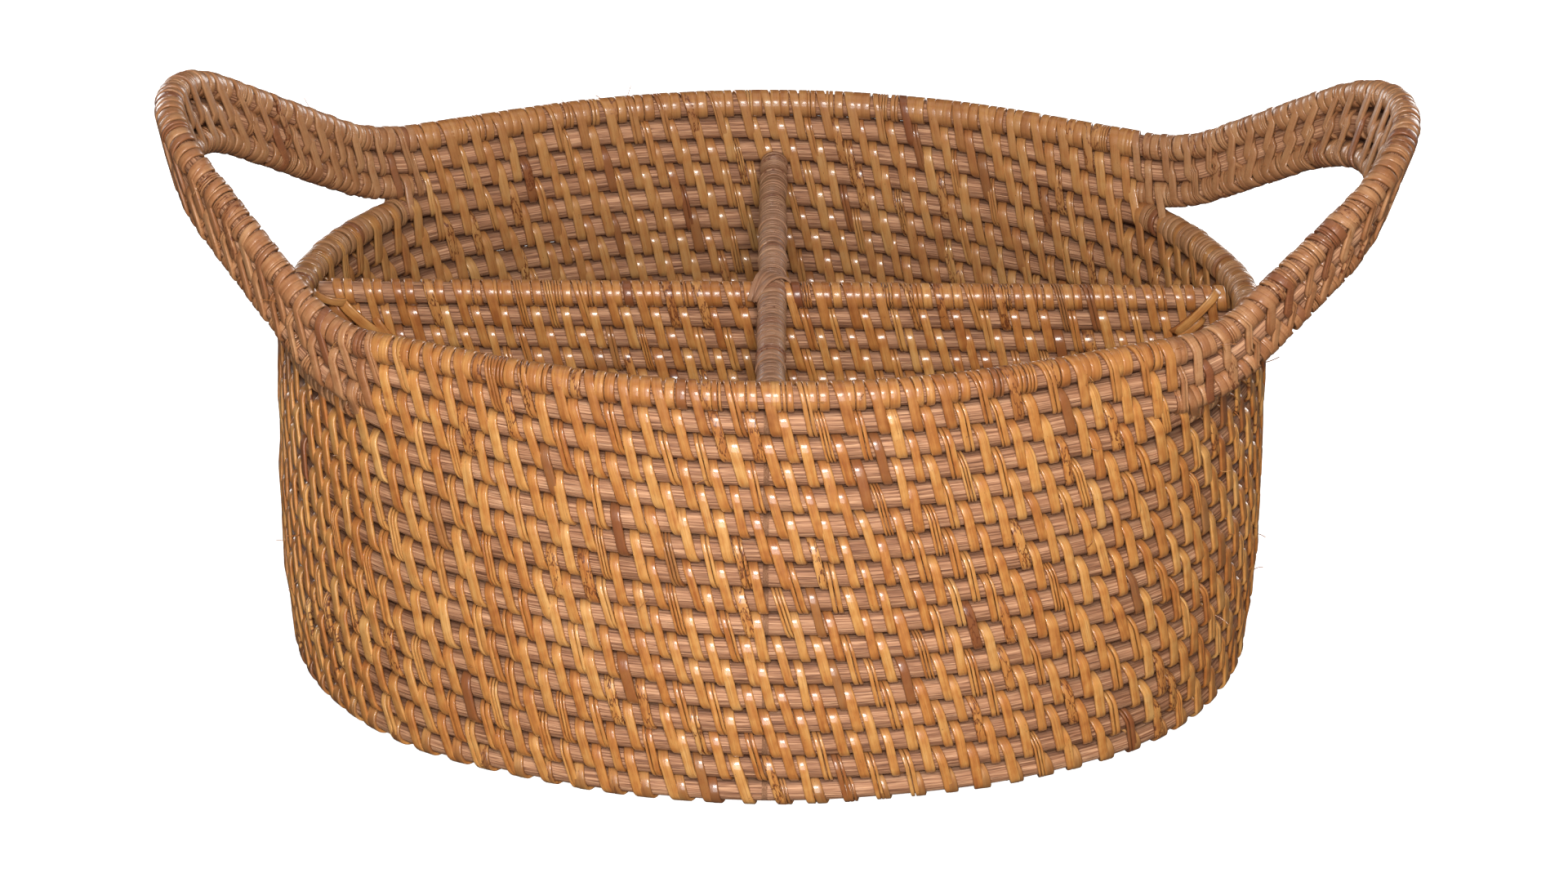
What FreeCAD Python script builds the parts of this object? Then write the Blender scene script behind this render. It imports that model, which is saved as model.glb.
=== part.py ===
"""Oval four-compartment caddy of coiled rattan, with two loop handles.

Millimetres. X runs along the length, Y across the width, +Z up, and Z = 0 is the
surface that the caddy stands on. The model is drawn about the middle of the body and
moved as it is written, so that the origin is below the middle of the overall length:
the right handle stands out a little further than the left one.

Every row of the wall is a round rattan rod bent to an oval. Peel strips wind round
each rod and the rod below it. The strips are held here as sleeves: an outer and an
inner one on the wall, two on each divider, and thin tubes on the handles.
"""
import FreeCAD, Part
import math
import os
from FreeCAD import Vector

os.makedirs("parts", exist_ok=True)

# Coils
coil_pitch = 8.0
rod_diameter = 6.8
peel_thickness = 1.0
groove_clearance = 0.05
wall_rows = 14
hoop_rows = 3

# Oval plan of the wall rods' centreline: two end arcs and two long side arcs
body_half_length = 143.8
body_half_width = 100.8
end_arc_radius = 87.0
belly_depth = 2.0
belly_height = 34.0

# Hoops: the three top rods of the long walls, which run on as the handles
hoop_rod_diameter = 5.9
handle_peel_thickness = 0.3
hoop_leaves_wall_at = 80.0
hoop_bend_radius = 43.0
hoop_bend_step = -0.5

# Handles: reach of the end, where the arms start and would meet, their slope, and the lean of the lower rods
left_handle = {"reach": 176.6, "bends_at": 125.4, "corner": 196.5, "slope": 0.865, "lean_step": 1.8}
right_handle = {"reach": 185.4, "bends_at": 128.2, "corner": 223.0, "slope": 0.745, "lean_step": 3.2}

# Base
base_rings = 12
base_rod_diameter = 6.6
base_rod_height = 5.4
base_core_half_length = body_half_length - body_half_width
base_roundness_loss = 0.13

# Dividers
divider_rods = 15
divider_rod_diameter = 6.2
divider_pitch = 7.15
divider_top_height = 114.1
divider_wall_gap = 0.6
long_divider_top_half_length = 135.0
crossing_gap = 0.3

# Lashings
tie_width = 3.0
tie_length = 27.0
tie_slope_degrees = 37.0
tie_start_inset = 6.0
crossing_tie_length = 17.0

rod_radius = rod_diameter / 2
hoop_rod_radius = hoop_rod_diameter / 2
base_rod_radius = base_rod_diameter / 2
divider_rod_radius = divider_rod_diameter / 2
wall_half_thickness = rod_radius + peel_thickness
divider_half_thickness = divider_rod_radius + peel_thickness
first_row_height = wall_half_thickness
overall_middle = Vector((right_handle["reach"] - left_handle["reach"]) / 2, 0, 0)
up = Vector(0, 0, 1)


def export(name, shape):
    """Write one node, a solid or a group of separate solids, in the part's own frame."""
    shape.translate(-overall_middle)
    shape.exportStep("parts/" + name + ".step")


def unit(vector):
    """A copy of the vector, one long."""
    return Vector(vector) / vector.Length


def joined(pieces):
    """One solid from pieces that meet face to face."""
    whole = pieces[0].multiFuse(pieces[1:]).removeSplitter()
    return whole.Solids[0]


def row_height(row):
    """Height of a coil's centreline; row 1 is the lowest."""
    return first_row_height + coil_pitch * (row - 1)


def belly(height):
    """How far the wall stands out at a height: most at the belly, none at the top row."""
    if height < belly_height:
        span = 2 * belly_height
    else:
        span = row_height(wall_rows) - belly_height
    return belly_depth * math.cos(math.pi / 2 * (height - belly_height) / span)


def oval_arcs(half_length, half_width, end_radius):
    """Centre, radius, first angle and sweep of an oval's four tangent arcs."""
    end_centre = half_length - end_radius
    side_radius = (end_centre ** 2 + half_width ** 2 - end_radius ** 2) / (2 * (half_width - end_radius))
    side_centre = side_radius - half_width
    corner = math.degrees(math.atan2(side_centre, end_centre))
    return [
        (Vector(end_centre, 0, 0), end_radius, -corner, 2 * corner),
        (Vector(0, -side_centre, 0), side_radius, corner, 180 - 2 * corner),
        (Vector(-end_centre, 0, 0), end_radius, 180 - corner, 2 * corner),
        (Vector(0, side_centre, 0), side_radius, 180 + corner, 180 - 2 * corner),
    ]


def direction(degrees):
    """Level unit vector at an angle from +X."""
    angle = math.radians(degrees)
    return Vector(math.cos(angle), math.sin(angle), 0)


def disc(centre, normal, radius):
    """Round face."""
    return Part.Face(Part.Wire(Part.Circle(centre, normal, radius).toShape()))


def oval_rod(arcs, height, radius, offset=0.0):
    """Round rod bent to an oval, its centreline moved out by the offset."""
    pieces = []
    for centre, arc_radius, first, sweep in arcs:
        middle = centre + up * height
        outward = direction(first)
        start = middle + outward * (arc_radius + offset)
        section = disc(start, up.cross(outward), radius)
        pieces.append(section.revolve(middle, up, sweep))
    return joined(pieces)


def arc_slab(profile_edges, arc):
    """Sweep a profile, given for an outward direction and a start point, along one level arc."""
    centre, arc_radius, first, sweep = arc
    outward = direction(first)
    start = centre + outward * arc_radius
    face = Part.Face(Part.Wire(profile_edges(start, outward)))
    return face.revolve(centre, up, sweep)


body_arcs = oval_arcs(body_half_length, body_half_width, end_arc_radius)
wall_top = row_height(wall_rows) + coil_pitch / 2


def wall_sleeve_edges(start, outward, side):
    """Profile of the peel layer on one face of the wall; side is +1 outside and -1 inside."""

    def at(offset, height):
        return start + outward * offset + up * height

    groove = rod_radius + groove_clearance
    middle = groove_clearance * side
    edges = []
    here = at(belly(0) + middle, 0)
    for row in range(1, wall_rows + 1):
        height = row_height(row)
        offset = belly(height)
        below = at(offset + middle, height - groove)
        beside = at(offset + middle + side * groove, height)
        above = at(offset + middle, height + groove)
        edges.append(Part.LineSegment(here, below).toShape())
        edges.append(Part.Arc(below, beside, above).toShape())
        here = above
    rim = at(belly(wall_top) + middle, wall_top)
    edges.append(Part.LineSegment(here, rim).toShape())
    here = rim
    heights = [wall_top] + [row_height(row) for row in range(wall_rows, 0, -1)] + [0]
    for height in heights:
        face_point = at(belly(height) + side * wall_half_thickness, height)
        edges.append(Part.LineSegment(here, face_point).toShape())
        here = face_point
    edges.append(Part.LineSegment(here, at(belly(0) + middle, 0)).toShape())
    return edges


def make_wall():
    """Fourteen oval coils and the peel on both faces of them."""
    for row in range(1, wall_rows + 1):
        height = row_height(row)
        export("wall_coil_%02d" % row, oval_rod(body_arcs, height, rod_radius, belly(height)))
    for name, side in (("wall_binding_outer", 1), ("wall_binding_inner", -1)):
        def sleeve_profile(start, outward):
            return wall_sleeve_edges(start, outward, side)

        slabs = [arc_slab(sleeve_profile, arc) for arc in body_arcs]
        export(name, joined(slabs))


def rounded_corner(before, corner, after, radius):
    """First, middle and last point of the arc that rounds a corner between two straight runs."""
    back = unit(before - corner)
    ahead = unit(after - corner)
    half_opening = back.getAngle(ahead) / 2
    reach = radius / math.tan(half_opening)
    inward = unit(back + ahead)
    middle = corner + inward * (radius / math.sin(half_opening) - radius)
    return corner + back * reach, middle, corner + ahead * reach


def handle_route(level, handle):
    """Edges of one hoop rod from the back wall round a handle to the front wall, on the +X side.

    Level 0 is the top rod. The rod leaves the side arc on its tangent, bends up at the shoulder,
    climbs straight, and turns round the end of the handle in the sloping plane of its two arms.
    """
    centre, side_radius = body_arcs[1][0], body_arcs[1][1]
    height = row_height(wall_rows + hoop_rows - level)
    slope = handle["slope"]
    lean_in = handle["lean_step"] * level
    leaving_y = math.sqrt(side_radius ** 2 - hoop_leaves_wall_at ** 2) + centre.y
    leaving = Vector(hoop_leaves_wall_at, leaving_y, height)
    tangent = unit(Vector(leaving.y - centre.y, -leaving.x, 0))
    shoulder_x = handle["bends_at"] + hoop_bend_step * level
    shoulder = leaving + tangent * ((shoulder_x - leaving.x) / tangent.x)
    tip_x = handle["corner"] - lean_in
    tip = Vector(tip_x, 0, height + (tip_x - shoulder.x) * slope)
    lean = math.hypot(1, slope)
    arm = unit(tip - shoulder)
    turn = math.asin((arm.x + arm.z * slope) / lean)
    end_x = handle["reach"] - lean_in
    end_radius = (tip_x - end_x) * lean / (1 / math.cos(turn) - 1)

    def mirrored(point):
        return Vector(point.x, -point.y, point.z)

    bend = rounded_corner(leaving, shoulder, tip, hoop_bend_radius)
    end = rounded_corner(shoulder, tip, mirrored(shoulder), end_radius)
    half = [
        Part.LineSegment(leaving, bend[0]).toShape(),
        Part.Arc(*bend).toShape(),
        Part.LineSegment(bend[2], end[0]).toShape(),
    ]
    other_bend = [mirrored(point) for point in reversed(bend)]
    other_half = [
        Part.LineSegment(end[2], other_bend[0]).toShape(),
        Part.Arc(*other_bend).toShape(),
        Part.LineSegment(other_bend[2], mirrored(leaving)).toShape(),
    ]
    return half + [Part.Arc(*end).toShape()] + other_half


def swept(edges, outer_radius, inner_radius=0.0):
    """Rod or tube along tangent lines and arcs."""
    pieces = []
    for edge in edges:
        first, last = edge.ParameterRange
        start = edge.valueAt(first)
        heading = edge.tangentAt(first)
        section = disc(start, heading, outer_radius)
        if inner_radius:
            section = section.cut(disc(start, heading, inner_radius)).Faces[0]
        if edge.Curve.TypeId == "Part::GeomLine":
            pieces.append(section.extrude(heading * edge.Length))
        else:
            pieces.append(section.revolve(edge.Curve.Center, edge.Curve.Axis, math.degrees(last - first)))
    return joined(pieces)


def side_arc(level, side):
    """The part of a hoop in one long wall; side is +1 at the back and -1 at the front."""
    centre, side_radius = body_arcs[1][0], body_arcs[1][1]
    height = row_height(wall_rows + hoop_rows - level)
    edge_y = math.sqrt(side_radius ** 2 - hoop_leaves_wall_at ** 2) + centre.y
    first = Vector(-hoop_leaves_wall_at * side, edge_y * side, height)
    middle = Vector(0, body_half_width * side, height)
    last = Vector(hoop_leaves_wall_at * side, edge_y * side, height)
    return Part.Arc(first, middle, last).toShape()


def flipped(shape):
    """Mirror image on the -X side."""
    return shape.mirror(Vector(0, 0, 0), Vector(1, 0, 0))


def rim_binding(side):
    """Peel round the three hoop rods in one long wall: a curved slab with a hole for each rod."""
    centre = body_arcs[1][0] * side
    side_radius = body_arcs[1][1]
    spread = math.degrees(math.asin(hoop_leaves_wall_at / side_radius))
    first = 90 * side - spread
    outward = direction(first)
    start = centre + outward * side_radius
    bottom = wall_top + groove_clearance
    top = row_height(wall_rows + hoop_rows) + wall_half_thickness
    shoulder = top - wall_half_thickness
    across = outward * wall_half_thickness
    outline = [
        Part.LineSegment(start - across + up * bottom, start + across + up * bottom),
        Part.LineSegment(start + across + up * bottom, start + across + up * shoulder),
        Part.Arc(start + across + up * shoulder, start + up * top, start - across + up * shoulder),
        Part.LineSegment(start - across + up * shoulder, start - across + up * bottom),
    ]
    face = Part.Face(Part.Wire([line.toShape() for line in outline]))
    for level in range(hoop_rows):
        middle = start + up * row_height(wall_rows + hoop_rows - level)
        face = face.cut(disc(middle, up.cross(outward), hoop_rod_radius + groove_clearance)).Faces[0]
    return face.revolve(centre, up, 2 * spread)


def make_hoops():
    """Three closed hoops, the peel on them in the long walls, and the peel on both handles."""
    right_tubes = []
    left_tubes = []
    names = ("hoop_coil_upper", "hoop_coil_middle", "hoop_coil_lower")
    tube_inner = hoop_rod_radius + groove_clearance
    tube_outer = hoop_rod_radius + handle_peel_thickness
    for level in range(hoop_rows):
        right = handle_route(level, right_handle)
        left = handle_route(level, left_handle)
        pieces = [
            swept(right, hoop_rod_radius),
            flipped(swept(left, hoop_rod_radius)),
            swept([side_arc(level, 1)], hoop_rod_radius),
            swept([side_arc(level, -1)], hoop_rod_radius),
        ]
        export(names[level], joined(pieces))
        right_tubes.append(swept(right, tube_outer, tube_inner))
        left_tubes.append(flipped(swept(left, tube_outer, tube_inner)))
    export("handle_binding_right", Part.makeCompound(right_tubes))
    export("handle_binding_left", Part.makeCompound(left_tubes))
    export("rim_binding_back", rim_binding(1))
    export("rim_binding_front", rim_binding(-1))


def oval_plate(half_length, half_width, end_radius, bottom, top):
    """Flat oval sheet between two heights."""
    edges = []
    for centre, radius, first, sweep in oval_arcs(half_length, half_width, end_radius):
        middle = centre + up * bottom
        points = [middle + direction(first + sweep * share) * radius for share in (0, 0.5, 1)]
        edges.append(Part.Arc(*points).toShape())
    return Part.Face(Part.Wire(edges)).extrude(up * (top - bottom))


def make_base():
    """A straight core rod, the rings coiled round it, and the peel above and below them."""
    wall_offset = belly(row_height(1))
    outer_half_width = body_half_width + wall_offset - coil_pitch
    ring_pitch = outer_half_width / base_rings
    core_start = Vector(-base_core_half_length, 0, base_rod_height)
    core = Part.makeCylinder(base_rod_radius, 2 * base_core_half_length, core_start, Vector(1, 0, 0))
    export("base_core_rod", core)
    for ring in range(1, base_rings + 1):
        half_width = ring_pitch * ring
        end_radius = half_width * (1 - base_roundness_loss * ring / base_rings)
        arcs = oval_arcs(base_core_half_length + half_width, half_width, end_radius)
        export("base_coil_%02d" % ring, oval_rod(arcs, base_rod_height, base_rod_radius))
    inset = wall_half_thickness - wall_offset + divider_wall_gap
    plan = (body_half_length - inset, body_half_width - inset, end_arc_radius - inset)
    under = base_rod_height - base_rod_radius
    over = base_rod_height + base_rod_radius
    export("base_binding_bottom", oval_plate(*plan, under - peel_thickness, under))
    export("base_binding_top", oval_plate(*plan, over, over + peel_thickness))


def divider_sleeve(length, side):
    """Peel on one face of a divider that runs along +X from the origin."""
    groove = divider_rod_radius + groove_clearance
    middle = groove_clearance * side
    lowest = divider_top_height - divider_pitch * (divider_rods - 1)
    bottom = lowest - divider_pitch / 2
    top = divider_top_height + divider_rod_radius + peel_thickness
    edges = []
    here = Vector(0, middle, bottom)
    for number in range(divider_rods):
        height = lowest + divider_pitch * number
        below = Vector(0, middle, height - groove)
        beside = Vector(0, middle + side * groove, height)
        above = Vector(0, middle, height + groove)
        edges.append(Part.LineSegment(here, below).toShape())
        edges.append(Part.Arc(below, beside, above).toShape())
        here = above
    face_y = divider_half_thickness * side
    corners = [
        Vector(0, middle, top),
        Vector(0, face_y, top - divider_half_thickness),
        Vector(0, face_y, bottom),
        Vector(0, middle, bottom),
    ]
    diagonal = math.sqrt(0.5)
    crown_middle = Vector(0, face_y * diagonal, top - divider_half_thickness * (1 - diagonal))
    edges.append(Part.LineSegment(here, corners[0]).toShape())
    edges.append(Part.Arc(corners[0], crown_middle, corners[1]).toShape())
    edges.append(Part.LineSegment(corners[1], corners[2]).toShape())
    edges.append(Part.LineSegment(corners[2], corners[3]).toShape())
    return Part.Face(Part.Wire(edges)).extrude(Vector(length, 0, 0))


def rod_along_x(first_x, last_x, height):
    """Straight divider rod."""
    return Part.makeCylinder(divider_rod_radius, last_x - first_x, Vector(first_x, 0, height), Vector(1, 0, 0))


def divider_heights():
    """Heights of the divider rods, from the lowest up."""
    return [divider_top_height - divider_pitch * step for step in range(divider_rods - 1, -1, -1)]


def make_long_divider():
    """Rods along the middle of the body with peel on both faces."""
    half_length = body_half_length - wall_half_thickness - divider_wall_gap
    heights = divider_heights()
    lower = [rod_along_x(-half_length, half_length, height) for height in heights[:-1]]
    export("long_divider_rods", Part.makeCompound(lower))
    top = rod_along_x(-long_divider_top_half_length, long_divider_top_half_length, heights[-1])
    export("long_divider_top_rod", top)
    start = Vector(-long_divider_top_half_length, 0, 0)
    for name, side in (("long_divider_binding_back", 1), ("long_divider_binding_front", -1)):
        sleeve = divider_sleeve(2 * long_divider_top_half_length, side)
        sleeve.translate(start)
        export(name, sleeve)


def make_cross_divider():
    """Two panels of short rods, one each side of the long divider, with peel on both faces."""
    first = divider_half_thickness + crossing_gap
    last = body_half_width - wall_half_thickness - divider_wall_gap
    for name, turn in (("cross_divider_back", 90), ("cross_divider_front", -90)):
        rods = [rod_along_x(first, last, height) for height in divider_heights()]
        sleeves = []
        for side in (1, -1):
            sleeve = divider_sleeve(last - first, side)
            sleeve.translate(Vector(first, 0, 0))
            sleeves.append(sleeve)
        for node, solids in ((name + "_rods", rods), (name + "_binding", sleeves)):
            group = Part.makeCompound(solids)
            group.rotate(Vector(0, 0, 0), up, turn)
            export(node, group)


def make_ties():
    """Diagonal lashings at both ends of the long divider and a crossed one in the middle."""
    face_y = -divider_half_thickness - groove_clearance
    top = divider_top_height + divider_rod_radius
    drop = (tie_width + 2 * groove_clearance) / math.cos(math.radians(tie_slope_degrees))
    for name, side in (("divider_end_tie_left", -1), ("divider_end_tie_right", 1)):
        strips = []
        for number in range(2):
            strip = Part.makeBox(tie_length, peel_thickness, tie_width)
            strip.translate(Vector(0, -peel_thickness, -tie_width))
            strip.rotate(Vector(0, 0, 0), Vector(0, 1, 0), tie_slope_degrees)
            strip.translate(Vector(0, face_y, top - number * drop))
            if side > 0:
                strip = flipped(strip)
            strip.translate(Vector(side * (long_divider_top_half_length - tie_start_inset), 0, 0))
            strips.append(strip)
        export(name, Part.makeCompound(strips))
    tie_bottom = divider_top_height + divider_half_thickness + groove_clearance
    strips = []
    for turn in (45, 135):
        strip = Part.makeBox(crossing_tie_length, tie_width, peel_thickness)
        strip.translate(Vector(-crossing_tie_length / 2, -tie_width / 2, tie_bottom))
        strip.rotate(Vector(0, 0, 0), up, turn)
        strips.append(strip)
    export("crossing_tie", joined(strips))


make_wall()
make_hoops()
make_base()
make_long_divider()
make_cross_divider()
make_ties()
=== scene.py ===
"""Looks of the oval four-compartment caddy of coiled rattan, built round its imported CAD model.

Every coil is a rattan rod, and every stitch is its own strip of peel: a long stitch goes over
its rod, down the outer face, under the rod below and up the inner face. Short wraps fill the
rims and the handles. Shapes are worked out in millimetres and written in metres.
"""

import math

import bpy
import numpy as np
from mathutils import Matrix, Vector


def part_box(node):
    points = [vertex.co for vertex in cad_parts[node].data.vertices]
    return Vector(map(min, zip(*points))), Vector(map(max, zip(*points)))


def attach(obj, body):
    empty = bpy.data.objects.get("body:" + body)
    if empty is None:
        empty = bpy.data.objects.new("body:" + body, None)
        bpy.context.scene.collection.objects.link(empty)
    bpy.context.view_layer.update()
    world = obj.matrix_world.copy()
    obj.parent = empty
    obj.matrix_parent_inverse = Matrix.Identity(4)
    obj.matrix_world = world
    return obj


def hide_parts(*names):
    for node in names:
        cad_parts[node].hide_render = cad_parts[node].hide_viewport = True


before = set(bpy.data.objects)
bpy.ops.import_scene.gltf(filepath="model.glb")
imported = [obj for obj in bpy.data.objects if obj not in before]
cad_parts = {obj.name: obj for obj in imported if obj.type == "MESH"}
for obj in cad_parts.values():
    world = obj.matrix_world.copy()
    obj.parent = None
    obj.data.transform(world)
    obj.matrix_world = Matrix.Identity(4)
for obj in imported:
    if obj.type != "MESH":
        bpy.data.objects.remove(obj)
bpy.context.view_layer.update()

MM = 0.001

# Plan of the coils
WALL_ROWS = 14
BASE_RINGS = 12
DIVIDER_RODS = 15
END_RADIUS = 87.0
BASE_ROUNDNESS_LOSS = 0.13
BASE_CORE_HALF_LENGTH = 43.0
ARC_POINTS = 60
ROD_STEP = 3.0

# Hoops: the same route as their CAD rods
HOOP_LEAVES_WALL = 80.0
HOOP_BEND_RADIUS = 43.0
HOOP_BEND_STEP = -0.5
LEFT_HANDLE = {"bends_at": 125.4, "corner": 196.5, "slope": 0.865, "lean_step": 1.8}
RIGHT_HANDLE = {"bends_at": 128.2, "corner": 223.0, "slope": 0.745, "lean_step": 3.2}
HANDLE_ROD_RADIUS = 3.0

# A hoop rod slims down over this run, counted from the end of the rim; the lowest reaches down to the wall
HOOP_TAPER = (-6.0, 14.0)
HOOP_FOOT_OVERLAP = 0.4
HOOP_FOOT_REACH = 3.4

# Where things change along the rims, as distances from the middle of the body
RIM_END = 115.0
HANDLE_PEEL_START = 113.0
HOOP_STITCHES_END = 121.0
END_WRAPS_START = 118.0

# The wall draws in a little towards the foot at both ends
FOOT_ROWS = 5.5
FOOT_PULL = 2.3

# Its end rims stand up under close wraps, and its top rows part where the hoops leave
END_RIM_RISE = 1.8
END_RIM_RISE_START = 98.0
END_RIM_RISE_RUN = 16.0
PARTING_X = 114.0
PARTING_SPREAD = 15.0
PARTING_PUSH = {14: 3.0, 13: 1.9, 12: 1.0, 11: 0.4}

# Stitches: pitch along the rods, and what a stitch does in one pitch
FRONT_PITCH = 9.8
BACK_PITCH = 8.8
END_PITCH = 9.3
HANDLE_PITCH = 8.6
DIVIDER_PITCH = 9.0
BASE_PITCH = 9.2
ROW_SHIFT = 0.54
TOP_CROSSING = 0.07
FACE_END = 0.43
PEEL_WIDTH = 2.95
PEEL_THICKNESS = 0.95
PEEL_LIFT = 0.04
HANDLE_STITCH_WIDTH = 2.5
HANDLE_WRAP_WIDTH = 2.65
RIM_WRAP_WIDTH = 2.9
END_RIM_WRAP_WIDTH = 2.05
LONG_DIVIDER_STITCH_WIDTH = 2.8
LONG_DIVIDER_TOP_WIDTH = 2.75
CROSS_DIVIDER_STITCH_WIDTH = 2.7
CROSS_DIVIDER_TOP_WIDTH = 2.8
DIVIDER_PEEL_THICKNESS = 0.85

# How the peel and rods stray from perfect, in millimetres or as shares
ROD_WOBBLE = 0.35
PITCH_JITTER = 0.045
WIDTH_JITTER = 0.07
SPLIT_CHANCE = 0.22
SPLIT_GAP = 0.22
TORN_CHANCE = 0.07

# The long divider's top rod is wrapped close together this far from its middle
CLOSE_WRAPS_END = 102.0

# Rods are filled this much past half the distance to their neighbours, so that no light shows between them
FILL_OVERLAP = 0.03

# Painted shade in the crevices of a filled rod, where it meets a neighbour: cosines, from its crest, between
# which it comes on; it starts sooner towards the ends of the wall, where the painted shade is wider
CREVICE_SHADE_START = 0.75
CREVICE_SHADE_FULL = 0.99
END_CREVICE_SHADE_WIDENING = 0.45
END_CREVICE_SHADE_FROM = 60.0
END_CREVICE_SHADE_RUN = 70.0

# A filled rod reaches its neighbour only at its crest; its shoulders keep to this share of its radius
CREST_COSINE = 0.98
SHOULDER_REACH = 1.09

UP = np.array([0.0, 0.0, 1.0])


def node_box(name):
    """Lowest and highest corner of a CAD node in millimetres."""
    low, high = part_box(name)
    return np.array(low) / MM, np.array(high) / MM


def unit(vectors):
    """Vectors of length one."""
    return vectors / np.maximum(np.linalg.norm(vectors, axis=-1, keepdims=True), 1e-9)


def headings(points, closed=True):
    """Direction of travel at each point of a path."""
    if not closed:
        return unit(np.gradient(points, axis=0))
    around = np.roll(points[:-1], -1, axis=0) - np.roll(points[:-1], 1, axis=0)
    return unit(np.concatenate([around, around[:1]]))


def coil_size(name):
    """Rod radius of a coil's CAD node, and half the size and the middle of its centreline."""
    low, high = node_box(name)
    radius = (high[2] - low[2]) / 2
    return radius, (high - low) / 2 - radius, (high + low) / 2


def wobble(count, seed, amplitude, waves=(2, 3, 5, 9, 14)):
    """Smooth closed noise along a path."""
    rng = np.random.default_rng(seed)
    turn = np.linspace(0, 2 * math.pi, count)
    total = np.zeros(count)
    for wave in waves:
        total += rng.uniform(0.3, 1.0) * np.sin(wave * turn + rng.uniform(0, 2 * math.pi))
    return amplitude * total / math.sqrt(len(waves))


# ------------------------------------------------------------------ paths of the rods

def oval_arcs(half_length, half_width, end_radius):
    """Centre of an oval's end arcs, and radius and centre of the long side arcs that meet them."""
    end_centre = half_length - end_radius
    side_radius = (end_centre ** 2 + half_width ** 2 - end_radius ** 2) / (2 * (half_width - end_radius))
    return end_centre, side_radius, side_radius - half_width


def oval(half_length, half_width, end_radius, height):
    """Closed oval of four tangent arcs, anticlockwise from the middle of its front."""
    end_centre, side_radius, side_centre = oval_arcs(half_length, half_width, end_radius)
    corner = math.atan2(side_centre, end_centre)
    quarter = math.pi / 2
    arcs = (
        (0, side_centre, side_radius, -quarter, -corner, ARC_POINTS),
        (end_centre, 0, end_radius, -corner, corner, ARC_POINTS * 2),
        (0, -side_centre, side_radius, corner, 2 * quarter - corner, ARC_POINTS * 2),
        (-end_centre, 0, end_radius, 2 * quarter - corner, 2 * quarter + corner, ARC_POINTS * 2),
        (0, side_centre, side_radius, 2 * quarter + corner, 3 * quarter, ARC_POINTS),
    )
    runs = []
    for x, y, radius, first, last, count in arcs:
        angle = np.linspace(first, last, count, endpoint=False)
        run = [x + radius * np.cos(angle), y + radius * np.sin(angle), np.full(count, height)]
        runs.append(np.stack(run, axis=1))
    points = np.concatenate(runs)
    return np.concatenate([points, points[:1]])


def outward_of(points):
    """Level direction away from the inside of an anticlockwise closed path."""
    return unit(np.cross(headings(points), UP))


def strayed(points, seed, amplitude=ROD_WOBBLE):
    """A closed path with the slight waviness of a hand-bent rod."""
    count = len(points)
    aside = wobble(count, seed, amplitude)[:, None] * outward_of(points)
    return points + aside + wobble(count, seed + 500, amplitude * 0.6)[:, None] * UP


def wall_row_path(row):
    """Centreline of one wall coil, read from its CAD node."""
    _, half, middle = coil_size("wall_coil_%02d" % row)
    end_radius = END_RADIUS + half[0] - top_row_half_length
    path = oval(half[0], half[1], end_radius, middle[2])
    endwards = (np.abs(path[:, 0]) / half[0]) ** 2
    foot = max(0.0, (FOOT_ROWS - row) / FOOT_ROWS) ** 1.3
    path[:, 0] -= np.sign(path[:, 0]) * endwards * foot * FOOT_PULL
    parting = np.exp(-((np.abs(path[:, 0]) - PARTING_X) / PARTING_SPREAD) ** 2)
    path[:, 1] += np.sign(path[:, 1]) * parting * PARTING_PUSH.get(row, 0.0)
    if row == WALL_ROWS:
        rise = np.clip((np.abs(path[:, 0]) - END_RIM_RISE_START) / END_RIM_RISE_RUN, 0, 1)
        path[:, 2] += END_RIM_RISE * rise
    path[:, 0] += middle[0]
    return strayed(path, row)


rod_radius, top_half, top_middle = coil_size("wall_coil_%02d" % WALL_ROWS)
top_row_half_length, top_row_half_width = top_half[:2]
body_x = top_middle[0]
wall_paths = {row: wall_row_path(row) for row in range(1, WALL_ROWS + 1)}


def base_ring_path(ring):
    """Centreline of one ring of the base; ring 0 is the straight core rod, followed there and back."""
    if ring == 0:
        path = base_ring_path(1).copy()
        path[:, 0] = np.clip(path[:, 0], body_x - BASE_CORE_HALF_LENGTH, body_x + BASE_CORE_HALF_LENGTH)
        path[:, 1] *= 0.02
        return path
    _, half, middle = coil_size("base_coil_%02d" % ring)
    end_radius = half[1] * (1 - BASE_ROUNDNESS_LOSS * ring / BASE_RINGS)
    path = oval(half[0], half[1], end_radius, middle[2])
    path[:, 0] += middle[0]
    return path


def run_between(first, last, count):
    """Points from one place towards another, the last one left out."""
    share = np.linspace(0, 1, count, endpoint=False)[:, None]
    return first + (last - first) * share


def rounded(before, corner, after, radius, count):
    """Arc that rounds a corner between two straight runs."""
    back = unit(before - corner)
    ahead = unit(after - corner)
    half_opening = math.acos(float(np.clip(back @ ahead, -1, 1))) / 2
    reach = radius / math.tan(half_opening)
    centre = corner + unit(back + ahead) * radius / math.sin(half_opening)
    start = corner + back * reach - centre
    end = corner + ahead * reach - centre
    normal = unit(np.cross(start, end))
    side = np.cross(normal, start)
    sweep = math.pi - 2 * half_opening
    angle = np.linspace(0, sweep, count, endpoint=False)[:, None]
    return centre + start * np.cos(angle) + side * np.sin(angle), centre + end


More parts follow.
